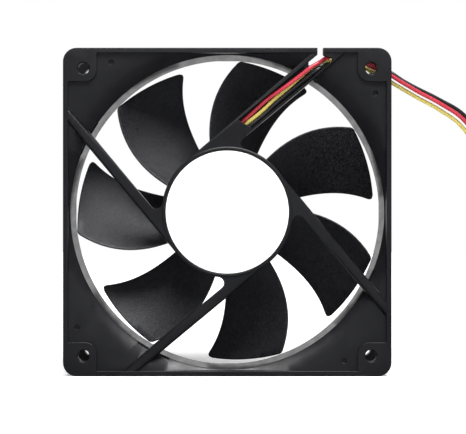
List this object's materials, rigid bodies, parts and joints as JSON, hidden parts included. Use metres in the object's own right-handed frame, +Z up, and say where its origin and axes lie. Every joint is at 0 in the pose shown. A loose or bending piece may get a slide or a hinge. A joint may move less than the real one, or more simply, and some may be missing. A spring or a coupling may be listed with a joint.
{
  "type": "case fan",
  "caption": "Square axial cooling fan with a seven-blade impeller, four struts, a ball-bearing motor and a three-wire lead with a plug.",
  "frame": {"origin": "middle of the square frame, on the rotor's axis", "axes": "+X right and +Z up seen from the exhaust side; +Y along the rotor's axis from exhaust to intake"},
  "size_m": [0.205, 0.031, 0.12],
  "materials": {
    "frame": "satin moulded charcoal plastic",
    "impeller": "fine spark-textured black plastic",
    "label": "blank white label film",
    "steel": "drawn steel cup",
    "magnet": "bonded ferrite strip",
    "shaft_steel": "ground steel",
    "bearing_steel": "polished bearing steel",
    "ball_steel": "polished balls",
    "brass": "turned brass",
    "nylon": "natural nylon",
    "lamination": "stacked laminations",
    "insulator": "cream moulded plastic",
    "copper": "enamelled copper winding",
    "board": "green circuit board",
    "chip": "black epoxy package",
    "ceramic": "tan ceramic body",
    "red": "red wire insulation",
    "yellow": "yellow wire insulation",
    "black": "black wire insulation",
    "lead_bundle": "coiled wires",
    "tie": "black nylon tie",
    "plug": "natural nylon plug",
    "tin": "tinned crimp terminals"
  },
  "bodies": {
    "housing": {"frame": "frame", "label": "label", "bearing_tube": "brass", "preload_spring": "shaft_steel", "stator_core": "lamination", "lower_insulator": "insulator", "upper_insulator": "insulator", "circuit_board": "board", "driver_chip": "chip", "hall_sensor": "chip", "capacitor": "ceramic", "resistor": "chip", "lead_coil": "lead_bundle", "lead_tie": "tie", "plug_housing": "plug", "coil_1": "copper", "coil_2": "copper", "coil_3": "copper", "coil_4": "copper", "lower_outer_race": "bearing_steel", "lower_shield": "shaft_steel", "upper_outer_race": "bearing_steel", "upper_shield": "shaft_steel", "red_channel_wire": "red", "red_lead_wire": "red", "red_tail_wire": "red", "red_terminal": "tin", "yellow_channel_wire": "yellow", "yellow_lead_wire": "yellow", "yellow_tail_wire": "yellow", "yellow_terminal": "tin", "black_channel_wire": "black", "black_lead_wire": "black", "black_tail_wire": "black", "black_terminal": "tin"},
    "rotor": {"impeller": "impeller", "rotor_yoke": "steel", "ring_magnet": "magnet", "shaft": "shaft_steel", "shaft_bush": "brass", "lower_washer": "nylon", "upper_spacer": "brass", "retaining_clip": "shaft_steel", "lower_inner_race": "bearing_steel", "upper_inner_race": "bearing_steel"},
    "lower_balls": {"lower_cage": "brass", "lower_ball_1": "ball_steel", "lower_ball_2": "ball_steel", "lower_ball_3": "ball_steel", "lower_ball_4": "ball_steel", "lower_ball_5": "ball_steel", "lower_ball_6": "ball_steel"},
    "upper_balls": {"upper_cage": "brass", "upper_ball_1": "ball_steel", "upper_ball_2": "ball_steel", "upper_ball_3": "ball_steel", "upper_ball_4": "ball_steel", "upper_ball_5": "ball_steel", "upper_ball_6": "ball_steel"}
  },
  "joints": [
    {"name": "rotor_spin", "type": "hinge", "parent": "housing", "child": "rotor", "pos_m": [0, 0, 0], "axis": [0, 1, 0], "continuous": true},
    {"name": "lower_cage_orbit", "type": "hinge", "parent": "housing", "child": "lower_balls", "pos_m": [0, -0.0079, 0], "axis": [0, 1, 0], "continuous": true},
    {"name": "upper_cage_orbit", "type": "hinge", "parent": "housing", "child": "upper_balls", "pos_m": [0, 0.0043, 0], "axis": [0, 1, 0], "continuous": true}
  ],
  "couplings": [
    {"joint": "lower_cage_orbit", "follows": "rotor_spin", "ratio": 0.382},
    {"joint": "upper_cage_orbit", "follows": "rotor_spin", "ratio": 0.382}
  ]
}
